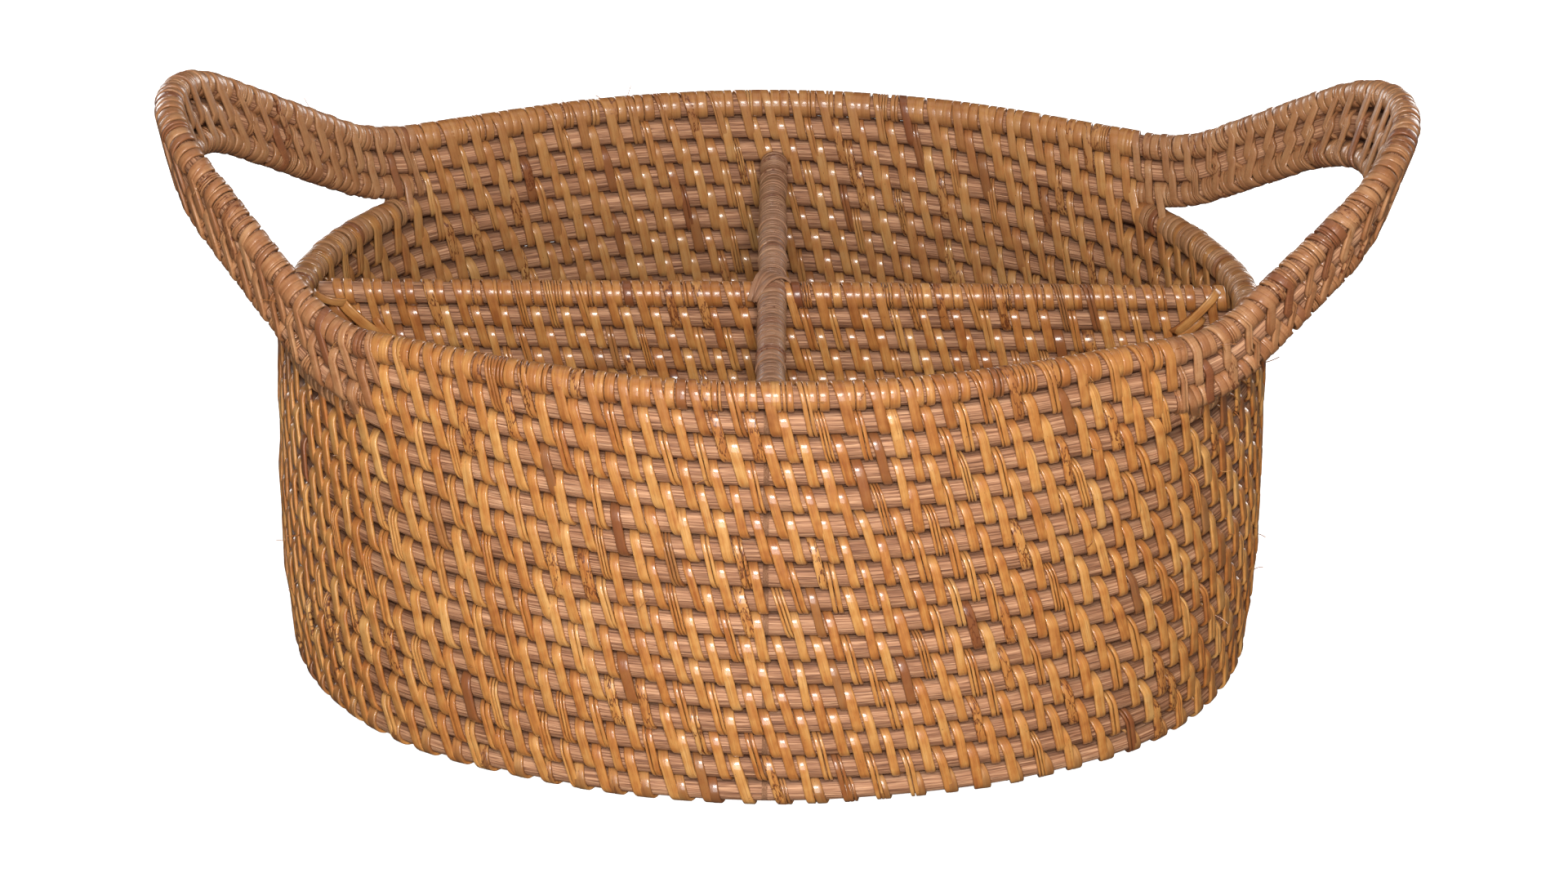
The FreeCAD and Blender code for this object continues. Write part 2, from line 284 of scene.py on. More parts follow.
def hoop_half(level, height, reach, handle, side_radius, side_centre):
    """One hoop rod from the middle of the front to the tip of a handle, drawn on the +X side."""
    slope = handle["slope"]
    lean_in = handle["lean_step"] * level
    leave_y = -(math.sqrt(side_radius ** 2 - HOOP_LEAVES_WALL ** 2) - side_centre)
    leaving = np.array([HOOP_LEAVES_WALL, leave_y, height])
    tangent = unit(np.array([side_centre - leave_y, HOOP_LEAVES_WALL, 0.0]))
    shoulder_x = handle["bends_at"] + HOOP_BEND_STEP * level
    shoulder = leaving + tangent * ((shoulder_x - leaving[0]) / tangent[0])
    tip_x = handle["corner"] - lean_in
    tip = np.array([tip_x, 0.0, height + (tip_x - shoulder[0]) * slope])
    lean = math.hypot(1, slope)
    arm = unit(tip - shoulder)
    turn = math.asin((arm[0] + arm[2] * slope) / lean)
    end_radius = (tip_x - reach + lean_in) * lean / (1 / math.cos(turn) - 1)
    other = shoulder * np.array([1, -1, 1])
    angle = np.linspace(-math.pi / 2, -math.acos(HOOP_LEAVES_WALL / side_radius), 50, endpoint=False)
    wall = np.stack([side_radius * np.cos(angle), side_centre + side_radius * np.sin(angle)], axis=1)
    wall = np.column_stack([wall, np.full(50, height)])
    bend, bend_end = rounded(leaving, shoulder, tip, HOOP_BEND_RADIUS, 24)
    end, _ = rounded(shoulder, tip, other, end_radius, 72)
    runs = [wall, run_between(leaving, bend[0], 12), bend, run_between(bend_end, end[0], 24), end[:37]]
    return np.concatenate(runs)


def smoothed(points, passes):
    """A closed path with its corners eased."""
    ring = points[:-1]
    for _ in range(passes):
        ring = (np.roll(ring, 1, axis=0) + 2 * ring + np.roll(ring, -1, axis=0)) / 4
    return np.concatenate([ring, ring[:1]])


def hoop_path(level):
    """Closed centreline of one hoop rod, anticlockwise from the middle of the front; level 0 is the top."""
    height = top_middle[2] + coil_pitch * (3 - level)
    _, side_radius, side_centre = oval_arcs(top_row_half_length, top_row_half_width, END_RADIUS)
    right_reach = hoop_high[0] - hoop_cad_radius - body_x
    left_reach = body_x - hoop_low[0] - hoop_cad_radius
    right = hoop_half(level, height, right_reach, RIGHT_HANDLE, side_radius, side_centre)
    left = hoop_half(level, height, left_reach, LEFT_HANDLE, side_radius, side_centre)
    left = left * np.array([-1, 1, 1])
    across = np.array([1, -1, 1])
    path = np.concatenate([right, (right * across)[-2::-1], (left * across)[1:], left[-2::-1]])
    path = smoothed(path, 3)
    path[:, 0] += body_x
    return path


coil_pitch = top_middle[2] - coil_size("wall_coil_%02d" % (WALL_ROWS - 1))[2][2]
hoop_low, hoop_high = node_box("hoop_coil_upper")
hoop_cad_radius = top_middle[2] + 3 * coil_pitch - hoop_low[2]
hoop_radius = rod_radius - 0.1
hoop_paths = [strayed(hoop_path(level), 40 + level, 0.2) for level in range(3)]


# ------------------------------------------------------------------ stitch counts along the paths

def lengths(points):
    """Distance along a path at each of its points."""
    steps = np.linalg.norm(np.diff(points, axis=0), axis=1)
    return np.concatenate([[0], np.cumsum(steps)])


def wall_counts():
    """Stitches passed at each point of a wall coil; the whole round is a whole number of them."""
    path = wall_paths[WALL_ROWS]
    x = np.abs((path[1:, 0] + path[:-1, 0]) / 2 - body_x)
    y = (path[1:, 1] + path[:-1, 1]) / 2
    steps = np.diff(lengths(path))
    at_end = x > RIM_END
    passed = steps / np.where(at_end, END_PITCH, np.where(y < 0, FRONT_PITCH, BACK_PITCH))
    rest = passed[~at_end].sum()
    ends = passed[at_end].sum()
    passed[at_end] *= (round(rest + ends) - rest) / ends
    return np.concatenate([[0], np.cumsum(passed)])


wall_count = wall_counts()


def hoop_counts(path):
    """Stitches passed along a hoop, in step with the wall's own in both long sides."""
    x, y = path[:, 0] - body_x, path[:, 1]
    wall_x = wall_paths[WALL_ROWS][:, 0] - body_x
    distance = lengths(path)
    beside = (np.abs(x) <= RIM_END)
    total = len(path)
    front_right = np.where(beside & (y < 0) & (np.arange(total) < total / 2))[0]
    back = np.where(beside & (y > 0))[0]
    front_left = np.where(beside & (y < 0) & (np.arange(total) >= total / 2))[0]
    counts = np.zeros(total)
    half = len(wall_x) // 2
    quarter = half // 2
    counts[front_right] = np.interp(x[front_right], wall_x[:quarter], wall_count[:quarter])
    back_wall = np.arange(quarter, len(wall_x) - quarter)
    back_order = back_wall[np.argsort(wall_x[back_wall])]
    counts[back] = np.interp(x[back], wall_x[back_order], wall_count[back_order])
    counts[front_left] = np.interp(x[front_left], wall_x[-quarter:], wall_count[-quarter:])
    plain = counts.copy()
    added = 0
    for before, after, zone in ((front_right[-1], back[0], back), (back[-1], front_left[0], front_left)):
        span = plain[after] - plain[before]
        gap = distance[after] - distance[before]
        extra = round(gap / HANDLE_PITCH - span)
        share = (distance[before:after + 1] - distance[before]) / gap
        counts[before:after + 1] = plain[before] + added + share * (span + extra)
        added += extra
        counts[zone] = plain[zone] + added
    return counts


hoop_count = hoop_counts(hoop_paths[0])


def make_track(main, mate, counts, closed=True):
    """A rod, the rod it is bound to, and the stitch count along both."""
    track = {"main": main, "mate": mate, "heading": headings(main, closed)}
    return track | {"counts": counts, "closed": closed, "total": counts[-1]}


def sample(track, key, count):
    """One of a track's lines at some stitch counts."""
    if track["closed"]:
        count = np.mod(count, track["total"])
    columns = [np.interp(count, track["counts"], track[key][:, axis]) for axis in range(3)]
    return np.stack(columns, axis=-1)


def beside_wall(path):
    """Top wall coil's centreline below each point of a hoop."""
    top = wall_paths[WALL_ROWS]
    half = len(top) // 2
    quarter = half // 2
    front = np.concatenate([top[-quarter:-1], top[:quarter]])
    back = top[quarter:-quarter][::-1]
    mate = np.empty_like(path)
    for axis in range(3):
        on_front = np.interp(path[:, 0], front[:, 0], front[:, axis])
        on_back = np.interp(path[:, 0], back[:, 0], back[:, axis])
        mate[:, axis] = np.where(path[:, 1] < 0, on_front, on_back)
    return mate


wall_tracks = {
    row: make_track(wall_paths[row], wall_paths[row - 1], wall_count) for row in range(2, WALL_ROWS + 1)
}
wall_tracks[1] = make_track(wall_paths[1], base_ring_path(BASE_RINGS), wall_count)
hoop_tracks = {
    17: make_track(hoop_paths[0], hoop_paths[1], hoop_count),
    16: make_track(hoop_paths[1], hoop_paths[2], hoop_count),
    15: make_track(hoop_paths[2], beside_wall(hoop_paths[2]), hoop_count),
}
handle_low_track = make_track(hoop_paths[2], 2 * hoop_paths[2] - hoop_paths[1], hoop_count)


# ------------------------------------------------------------------ strips of peel

SECTION_ACROSS = np.array([-1.0, -1.0, -0.95, -0.85, -0.72, 0.72, 0.85, 0.95, 1.0, 1.0]) / 2
SECTION_HEIGHT = np.array([0.0, 0.55, 0.8, 0.94, 1.0, 1.0, 0.94, 0.8, 0.55, 0.0])
STRIP_FIELDS = ("shade", "dark", "olive", "crack", "torn", "tuck")


def long_stitch(arc_steps=6, straight_steps=3, top_tuck=1.0):
    """Way of one long stitch: angle round the rods, share from rod to mate, advance in pitches."""
    way = []
    quarter = np.linspace(0, 1, arc_steps + 1)
    way.extend(quarter[:-1])
    way.extend(1 + np.linspace(0, 1, straight_steps + 1)[:-1])
    way.extend(2 + quarter)
    way = np.array(way)
    way = np.concatenate([-way[:0:-1], way])
    size = np.abs(way)
    angle = np.sign(way) * (np.minimum(size, 1) + np.clip(size - 2, 0, 1)) * math.pi / 2
    share = np.clip(size - 1, 0, 1)
    knots = [-3, -2.5, -0.5, 0, 0.5, 2.5, 3]
    advance = np.interp(way, knots, [-0.5, -FACE_END, -TOP_CROSSING, 0, TOP_CROSSING, FACE_END, 0.5])
    taper = np.interp(size, [0, 2.2, 2.8, 3], [1, 1, 0.9, 0.8])
    # Painted shade: dark where the strip goes under the mate rod, and by the given share over the crest of
    # its own rod
    tuck = np.maximum(np.interp(size, [0.15, 0.6], [top_tuck, 0]), np.interp(size, [2.25, 2.85], [0, 1]))
    return {"angle": angle, "share": share, "advance": advance, "taper": taper, "tuck": tuck}


def short_wrap(lean, steps=22):
    """The same for a wrap round one rod alone, from its underside over the top and back."""
    way = np.linspace(-1, 1, steps)
    # Painted shade on the part of the wrap that runs under the rod
    tuck = np.interp(np.abs(way), [0.55, 0.8], [0, 1])
    way_round = {"angle": way * math.pi, "share": np.zeros(steps), "advance": way * lean / 2}
    return way_round | {"taper": np.ones(steps), "tuck": tuck}


def stitch_set(rng, counts, width=PEEL_WIDTH, split=SPLIT_CHANCE, dark=0.04, jitter=PITCH_JITTER):
    """Places, widths and colours of a run of stitches; some are split along the grain."""
    rows = []
    for count in counts:
        at = count + rng.normal(0, jitter)
        wide = width * (1 + rng.normal(0, WIDTH_JITTER))
        shade = float(np.clip(rng.normal(0.5, 0.12), 0, 1))
        torn = 1.0 if rng.random() < TORN_CHANCE else 0.0
        darkness = rng.uniform(0.55, 1) if rng.random() < dark else rng.uniform(0, 0.12)
        lift = rng.uniform(0, 0.12)
        lean = rng.normal(1, 0.1)
        parts = 1
        if rng.random() < split:
            parts = 3 if rng.random() < 0.25 else 2
        cuts = np.sort(rng.uniform(0.3, 0.7, parts - 1)) if parts == 2 else np.array([0.34, 0.67])[:parts - 1]
        edges = np.concatenate([[0], cuts, [1]]) - 0.5
        for left, right in zip(edges[:-1], edges[1:]):
            piece = (right - left) * wide - (SPLIT_GAP if parts > 1 else 0)
            place = at + (left + right) / 2 * wide / FRONT_PITCH
            tint = shade + rng.normal(0, 0.04)
            rows.append((place, piece, tint, darkness, lift, lean, rng.random(), torn))
    return np.array(rows).T


def lay_strips(centre, normal, width, thickness, seed, **fields):
    """Block of strips with a crowned section; each field holds a number or one value per strip or place."""
    along = np.gradient(centre, axis=1)
    across = unit(np.cross(normal, along))
    outward = unit(np.cross(along, across))
    step = np.linalg.norm(np.diff(centre, axis=1), axis=2)
    distance = np.concatenate([np.zeros((len(centre), 1)), np.cumsum(step, axis=1)], axis=1)
    aside = width[..., None] * SECTION_ACROSS
    raised = thickness * SECTION_HEIGHT
    corners = centre[:, :, None] + across[:, :, None] * aside[..., None]
    corners = corners + outward[:, :, None] * raised[:, None]
    shape = aside.shape
    offset = np.broadcast_to(seed[:, None, None] * 900, shape)
    block = {key: np.broadcast_to(fields.get(key, 0.0), shape) for key in STRIP_FIELDS}
    block["fibre"] = np.stack([distance[..., None] + offset, aside + offset, offset], -1)
    block["corners"] = corners
    return block


def bound(
    track, stitches, way, radius, thickness=PEEL_THICKNESS, lift=PEEL_LIFT, crack=0.0, olive=(0.0, 0.5)
):
    """Block of stitches laid round a track's rods; olive is the share outside, and how much more inside."""
    at, width, shade, dark, raise_by, lean, seed, torn = stitches
    count = at[:, None] + way["advance"][None] * lean[:, None]
    main = sample(track, "main", count)
    mate = sample(track, "mate", count)
    heading = unit(sample(track, "heading", count))
    apart = main - mate
    apart = unit(apart - (apart * heading).sum(-1, keepdims=True) * heading)
    outward = np.cross(heading, apart)
    share = way["share"][None, :, None]
    angle = way["angle"][None, :, None]
    normal = np.cos(angle) * apart + np.sin(angle) * outward
    place = main + (mate - main) * share + normal * (radius + lift + raise_by[:, None, None])
    inside = np.clip(-np.sin(way["angle"]), 0, 1)[None, :, None]
    return lay_strips(
        place, normal, width[:, None] * way["taper"][None], thickness, seed,
        shade=shade[:, None, None], dark=dark[:, None, None], olive=olive[0] + olive[1] * inside,
        crack=crack, torn=torn[:, None, None], tuck=way["tuck"][None, :, None],
    )


def add_object(name, data):
    """New object in the scene."""
    made = bpy.data.objects.new(name, data)
    bpy.context.scene.collection.objects.link(made)
    return made


def new_mesh(name, corners, quads, caps, fields):
    """Mesh object in metres from corner places, four-sided faces, end caps and named corner fields."""
    mesh = bpy.data.meshes.new(name)
    mesh.vertices.add(len(corners))
    mesh.vertices.foreach_set("co", (corners * MM).astype(np.float32).ravel())
    loops = np.concatenate([quads.ravel()] + [cap.ravel() for cap in caps])
    sizes = np.concatenate([np.full(len(quads), 4)] + [np.full(len(cap), cap.shape[1]) for cap in caps])
    mesh.loops.add(len(loops))
    mesh.loops.foreach_set("vertex_index", loops.astype(np.int32))
    mesh.polygons.add(len(sizes))
    starts = np.concatenate([[0], np.cumsum(sizes)[:-1]])
    mesh.polygons.foreach_set("loop_start", starts.astype(np.int32))
    mesh.polygons.foreach_set("loop_total", sizes.astype(np.int32))
    mesh.polygons.foreach_set("use_smooth", np.ones(len(sizes), bool))
    for field, values in fields.items():
        kind, key = ("FLOAT_VECTOR", "vector") if values.ndim == 2 else ("FLOAT", "value")
        attribute = mesh.attributes.new(field, kind, "POINT")
        attribute.data.foreach_set(key, values.astype(np.float32).ravel())
    mesh.update(calc_edges=True)
    mesh.validate()
    return add_object(name, mesh)


def merged(blocks, key, *width):
    """One field of all the blocks, end to end."""
    return np.concatenate([block[key].reshape(-1, *width) for block in blocks])


def strip_piece(name, blocks, nodes, material=None):
    """One piece of the object from blocks of strips; it stands for the named CAD nodes."""
    quads, caps, first = [], [], 0
    for block in blocks:
        count, steps, sides = block["corners"].shape[:3]
        grid = first + np.arange(count * steps * sides).reshape(count, steps, sides)
        nearer, farther = grid[:, :-1], grid[:, 1:]
        beside_near, beside_far = np.roll(nearer, -1, axis=2), np.roll(farther, -1, axis=2)
        quads.append(np.stack([nearer, beside_near, beside_far, farther], axis=-1).reshape(-1, 4))
        caps.append(np.concatenate([grid[:, 0, ::-1], grid[:, -1]]))
        first += count * steps * sides
    fields = {key: merged(blocks, key) for key in STRIP_FIELDS} | {"fibre": merged(blocks, "fibre", 3)}
    piece = new_mesh(name, merged(blocks, "corners", 3), np.concatenate(quads), caps, fields)
    finish_piece(piece, nodes, material or peel_material)


def finish_piece(piece, nodes, material):
    """Material, body and the CAD nodes that a piece stands for, which are hidden."""
    piece.data.materials.append(material)
    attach(piece, "root")
    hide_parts(*nodes)


# ------------------------------------------------------------------ rods

def touching(path, other, radius):
    """Half the distance from a rod to its neighbour, or its own radius where that is more."""
    return np.maximum(np.linalg.norm(path - other, axis=1) / 2 + FILL_OVERLAP, radius)


def tube_block(path, radius, closed, seed, sides=16, level=UP, above=None, below=None, crevice_shade=CREVICE_SHADE_START):
    """Slightly uneven rod along a path; above and below are its reach towards the rods beside it."""
    count = len(path) - 1 if closed else len(path)

    def column(value):
        return np.broadcast_to(value, len(path))[:count, None]

    heading = headings(path, closed)[:count]
    level = np.broadcast_to(level, path.shape)[:count]
    up = unit(level - (heading * level).sum(-1, keepdims=True) * heading)
    side = np.cross(heading, up)
    rng = np.random.default_rng(seed)
    angle = np.linspace(0, 2 * math.pi, sides, endpoint=False)
    crown = np.cos(angle)[None]
    radius = column(radius)
    above = radius if above is None else column(above)
    below = radius if below is None else column(below)
    reach = np.where(crown > 0, above, below)
    tall = np.where(np.abs(crown) > CREST_COSINE, reach, np.minimum(reach, radius * SHOULDER_REACH))
    uneven = 1 + wobble(count + 1, seed + 70, 0.018, (5, 11, 23, 41))[:count, None]
    uneven = uneven + 0.012 * np.sin(3 * angle + rng.uniform(0, 6))[None] + 0.01 * np.sin(5 * angle)[None]
    lift = (tall * crown)[..., None] * up[:, None]
    aside = (radius * uneven * np.sin(angle)[None])[..., None] * side[:, None]
    grain = np.empty((count, sides, 3))
    grain[..., 0] = lengths(path)[:count, None] + seed * 37.0
    grain[..., 1] = rod_radius * crown + seed * 11.0
    grain[..., 2] = rod_radius * np.sin(angle)[None]
    # Painted shade on the crest and trough that are filled out to a neighbour, from the start cosine up to
    # full
    start = column(crevice_shade)
    shade_depth = np.clip((np.abs(crown) - start) / (CREVICE_SHADE_FULL - start), 0, 1)
    return {
        "corners": path[:count, None] + lift + aside,
        "closed": closed,
        "grain": grain,
        "shade": np.full((count, sides), rng.uniform(0.2, 0.8)),
        "crevice_shade": shade_depth * np.where(crown > 0, above > radius, below > radius),
    }


def rod_piece(name, blocks, nodes):
    """One piece made of several rods."""
    quads, caps, first = [], [], 0
    for block in blocks:
        steps, sides = block["shade"].shape
        grid = first + np.arange(steps * sides).reshape(steps, sides)
        nearer, farther = (grid, np.roll(grid, -1, axis=0)) if block["closed"] else (grid[:-1], grid[1:])
        faces = [nearer, farther, np.roll(farther, -1, axis=1), np.roll(nearer, -1, axis=1)]
        quads.append(np.stack(faces, axis=-1).reshape(-1, 4))
        if not block["closed"]:
            caps.append(np.stack([grid[0], grid[-1][::-1]]))
        first += steps * sides
    fields = {"grain": merged(blocks, "grain", 3)}
    fields |= {key: merged(blocks, key) for key in ("shade", "crevice_shade")}
    piece = new_mesh(name, merged(blocks, "corners", 3), np.concatenate(quads), caps, fields)
    finish_piece(piece, nodes, rod_material)


# ------------------------------------------------------------------ materials

class Nodes:
    """Short calls for a material's node tree."""

    def __init__(self, name):
        self.material = bpy.data.materials.new(name)
        self.material.use_nodes = True
        self.tree = self.material.node_tree
        self.shader = self.tree.nodes["Principled BSDF"]

    def add(self, kind, **settings):
        node = self.tree.nodes.new(kind)
        for key, value in settings.items():
            setattr(node, key, value)
        return node

    def link(self, source, target):
        self.tree.links.new(source, target)

    def fix(self, **values):
        for key, value in values.items():
            self.shader.inputs[key.replace("_", " ")].default_value = value

    def field(self, name, output="Fac"):
        return self.add("ShaderNodeAttribute", attribute_name=name).outputs[output]

    def scaled(self, vector, scale):
        node = self.add("ShaderNodeVectorMath", operation="MULTIPLY")
        self.link(vector, node.inputs[0])
        node.inputs[1].default_value = scale
        return node.outputs[0]

    def noise(self, vector, scale, detail=2.0, roughness=0.5):
        node = self.add("ShaderNodeTexNoise")
        self.link(self.scaled(vector, scale), node.inputs["Vector"])
        node.inputs["Scale"].default_value = 1.0
        node.inputs["Detail"].default_value = detail
        node.inputs["Roughness"].default_value = roughness
        return node.outputs["Fac"]

    def remap(self, value, low, high, to_low=0.0, to_high=1.0):
        node = self.add("ShaderNodeMapRange")
        self.link(value, node.inputs["Value"])
        for key, number in (("From Min", low), ("From Max", high), ("To Min", to_low), ("To Max", to_high)):
            node.inputs[key].default_value = number
        return node.outputs["Result"]

    def maths(self, operation, first, second):
        node = self.add("ShaderNodeMath", operation=operation)
        for socket, value in zip(node.inputs, (first, second)):
            if isinstance(value, (int, float)):
                socket.default_value = value
            else:
                self.link(value, socket)
        return node.outputs[0]

    def ramp(self, value, stops):
        node = self.add("ShaderNodeValToRGB")
        self.link(value, node.inputs[0])
        elements = node.color_ramp.elements
        while len(elements) < len(stops):
            elements.new(0.5)
        for element, (place, colour) in zip(elements, stops):
            element.position = place
            element.color = (*colour, 1)
        return node.outputs[0]

    def mix(self, share, first, second):
        node = self.add("ShaderNodeMix", data_type="RGBA")
        for socket, value in ((node.inputs[0], share), (node.inputs[6], first), (node.inputs[7], second)):
            if isinstance(value, tuple):
                socket.default_value = (*value, 1)
            elif isinstance(value, (int, float)):
                socket.default_value = value
            else:
                self.link(value, socket)
        return node.outputs[2]

    def bump(self, height, strength, distance_mm):
        node = self.add("ShaderNodeBump")
        node.inputs["Strength"].default_value = strength
        node.inputs["Distance"].default_value = distance_mm * MM
        self.link(height, node.inputs["Height"])
        self.link(node.outputs[0], self.shader.inputs["Normal"])


# Shades of peel from dark to light, as linear red, green and blue
GOLDEN = ((0.33, 0.103, 0.024), (0.47, 0.180, 0.043), (0.56, 0.257, 0.070), (0.66, 0.352, 0.116))
# The second row is the golden peel made about a sixth darker: painted shade for the rims and divider tops
SHADED_GOLDEN = ((0.28, 0.090, 0.022), (0.40, 0.150, 0.038), (0.48, 0.205, 0.056), (0.57, 0.280, 0.085))
WEATHERED = ((0.235, 0.088, 0.032), (0.335, 0.140, 0.056), (0.415, 0.195, 0.083), (0.500, 0.262, 0.122))
DULL = ((0.170, 0.078, 0.040), (0.270, 0.132, 0.070), (0.350, 0.180, 0.098), (0.450, 0.255, 0.150))


def make_peel_material(name, shades, coat, roughness):
    """Rattan peel: streaked along the grain, with brown and olive places and dark specks."""
    n = Nodes(name)
    fibre = n.field("fibre", "Vector")
    streak = n.noise(fibre, (0.06, 1.1, 1.0), 3.0)
    fine = n.noise(fibre, (0.1, 3.0, 1.0), 3.0)
    blotch = n.noise(fibre, (0.28, 0.3, 1.0), 2.0)
    speck = n.noise(fibre, (0.9, 2.4, 1.0), 2.0, 0.6)
    shade = n.maths("ADD", n.field("shade"), n.remap(streak, 0.3, 0.7, -0.22, 0.22))
    shade = n.maths("ADD", shade, n.remap(blotch, 0.3, 0.7, -0.22, 0.18))
    colour = n.ramp(shade, tuple(zip((0.0, 0.35, 0.65, 1.0), shades)))
    olive_share = n.maths("MULTIPLY", n.field("olive"), n.remap(blotch, 0.25, 0.75, 0.55, 1.0))
    colour = n.mix(olive_share, colour, (0.30, 0.165, 0.075))
    dark_share = n.maths("MULTIPLY", n.field("dark"), n.remap(streak, 0.3, 0.7, 0.75, 1.0))
    colour = n.mix(dark_share, colour, (0.17, 0.050, 0.020))
    colour = n.mix(n.remap(fine, 0.5, 0.72, 0.0, 0.5), colour, (0.24, 0.085, 0.027))
    # Torn strips show ragged brown lines where their noise passes through its middle
    rent = n.noise(fibre, (0.16, 0.55, 1.0), 3.0, 0.6)
    rent = n.maths("ABSOLUTE", n.maths("SUBTRACT", rent, 0.5), 0.0)
    rent = n.maths("MULTIPLY", n.remap(rent, 0.01, 0.035, 1.0, 0.0), n.field("torn"))
    colour = n.mix(rent, colour, (0.13, 0.036, 0.012))
    colour = n.mix(n.remap(speck, 0.68, 0.76, 0.0, 0.75), colour, (0.075, 0.026, 0.012))
    crack_noise = n.noise(fibre, (2.6, 0.22, 1.0), 1.0)
    crack = n.maths("MULTIPLY", n.remap(crack_noise, 0.57, 0.66), n.field("crack"))
    colour = n.mix(n.maths("MULTIPLY", crack, 0.55), colour, (0.33, 0.125, 0.04))
    # Painted shade where the strips go under and between the rods
    colour = n.mix(n.maths("MULTIPLY", n.field("tuck"), 0.6), colour, (0.16, 0.062, 0.024))
    n.link(colour, n.shader.inputs["Base Color"])
    n.link(n.remap(streak, 0.25, 0.75, roughness, roughness + 0.16), n.shader.inputs["Roughness"])
    n.fix(Specular_IOR_Level=0.35, Coat_Weight=coat, Coat_Roughness=0.13)
    height = n.maths("ADD", n.maths("MULTIPLY", fine, 0.35), n.maths("MULTIPLY", streak, 0.5))
    height = n.maths("SUBTRACT", height, n.maths("MULTIPLY", crack, 0.35))
    n.bump(height, 0.55, 0.35)
    return n.material


def make_rod_material():
    """Bare rattan core: pinkish brown, with fine lengthwise grain and dark pores."""
    n = Nodes("rattan_core")
    grain = n.field("grain", "Vector")
    broad = n.noise(grain, (0.035, 0.5, 0.5), 3.0)
    fine = n.noise(grain, (0.05, 2.2, 2.2), 3.0, 0.6)
    pore = n.noise(grain, (0.13, 3.8, 3.8), 1.0)
    shade = n.maths("ADD", n.maths("MULTIPLY", n.field("shade"), 0.3), n.remap(fine, 0.35, 0.65, -0.05, 0.75))
    shade = n.maths("ADD", shade, n.remap(broad, 0.3, 0.7, -0.12, 0.18))
    colour = n.ramp(shade, (
        (0.0, (0.130, 0.050, 0.023)),
        (0.4, (0.310, 0.140, 0.070)),
        (0.75, (0.460, 0.232, 0.122)),
        (1.0, (0.600, 0.330, 0.185)),
    ))
    colour = n.mix(n.remap(pore, 0.58, 0.72, 0.0, 0.7), colour, (0.085, 0.030, 0.018))
    # Painted shade in the crevices where a filled rod meets its neighbours
    colour = n.mix(n.maths("MULTIPLY", n.field("crevice_shade"), 0.8), colour, (0.050, 0.018, 0.009))
    n.fix(Specular_IOR_Level=0.25)
    n.link(colour, n.shader.inputs["Base Color"])
    n.link(n.remap(fine, 0.3, 0.7, 0.52, 0.72), n.shader.inputs["Roughness"])
    n.bump(n.maths("SUBTRACT", fine, n.maths("MULTIPLY", pore, 0.6)), 0.8, 0.45)
    return n.material


peel_material = make_peel_material("rattan_peel", GOLDEN, 0.62, 0.32)
# Darker copy of the golden peel: painted shade on the rims and the tops of the dividers
shaded_peel_material = make_peel_material("rattan_peel_shaded", SHADED_GOLDEN, 0.45, 0.34)
weathered_material = make_peel_material("rattan_peel_weathered", WEATHERED, 0.35, 0.38)
dull_material = make_peel_material("rattan_lashing", DULL, 0.12, 0.5)
rod_material = make_rod_material()


# ------------------------------------------------------------------ wall

LONG = long_stitch()
LONG_OVER_RIM = long_stitch(top_tuck=0.0)


def row_phase(row):
    """Where in a pitch the stitches of a row sit; each row down is moved on a little over half a pitch."""
    return (-ROW_SHIFT * row) % 1


def row_counts(track, row):
    """Counts of all the stitches of a closed row."""
    return np.arange(round(track["total"])) + row_phase(row)


def wall_rod(row):
    """One coil of the wall, filling its share of the gaps to the coils above and below."""
    path = wall_paths[row]
    in_long_side = np.abs(path[:, 0] - body_x) < RIM_END
    below = touching(path, wall_paths[row - 1], rod_radius) if row > 1 else rod_radius
    if row < WALL_ROWS:
        above = touching(path, wall_paths[row + 1], rod_radius)
    else:
        above = np.where(in_long_side, coil_pitch / 2, rod_radius)
    stack = wall_paths[min(row + 1, WALL_ROWS)] - wall_paths[max(row - 1, 1)]
    # The painted shade in the rod crevices starts lower on the rod towards the ends of the wall, darkening
    # the ends
    endwards = np.clip((np.abs(path[:, 0] - body_x) - END_CREVICE_SHADE_FROM) / END_CREVICE_SHADE_RUN, 0, 1)
    start = CREVICE_SHADE_START - END_CREVICE_SHADE_WIDENING * endwards
    return tube_block(path, rod_radius, True, row, level=stack, above=above, below=below, crevice_shade=start)


for half, rows in (("lower", range(1, 8)), ("upper", range(8, WALL_ROWS + 1))):
    rod_piece("wall_rods_" + half, [wall_rod(row) for row in rows], ["wall_coil_%02d" % row for row in rows])

WALL_PEEL = ["wall_binding_outer", "wall_binding_inner"]
for row, track in sorted(wall_tracks.items()):
    stitches = stitch_set(np.random.default_rng(1000 + row), row_counts(track, row))
    strip_piece("wall_stitches_%02d" % row, [bound(track, stitches, LONG, rod_radius)], WALL_PEEL)


# ------------------------------------------------------------------ rims and handles

def in_zone(track, counts, nearest=-1.0, farthest=math.inf):
    """The stitch counts whose place is more than one distance and at most another from the middle."""
    away = np.abs(sample(track, "main", counts)[:, 0] - body_x)
    return counts[(away > nearest) & (away <= farthest)]


ON_WALL = {"farthest": HANDLE_PEEL_START}
ON_HANDLE = {"nearest": HANDLE_PEEL_START}


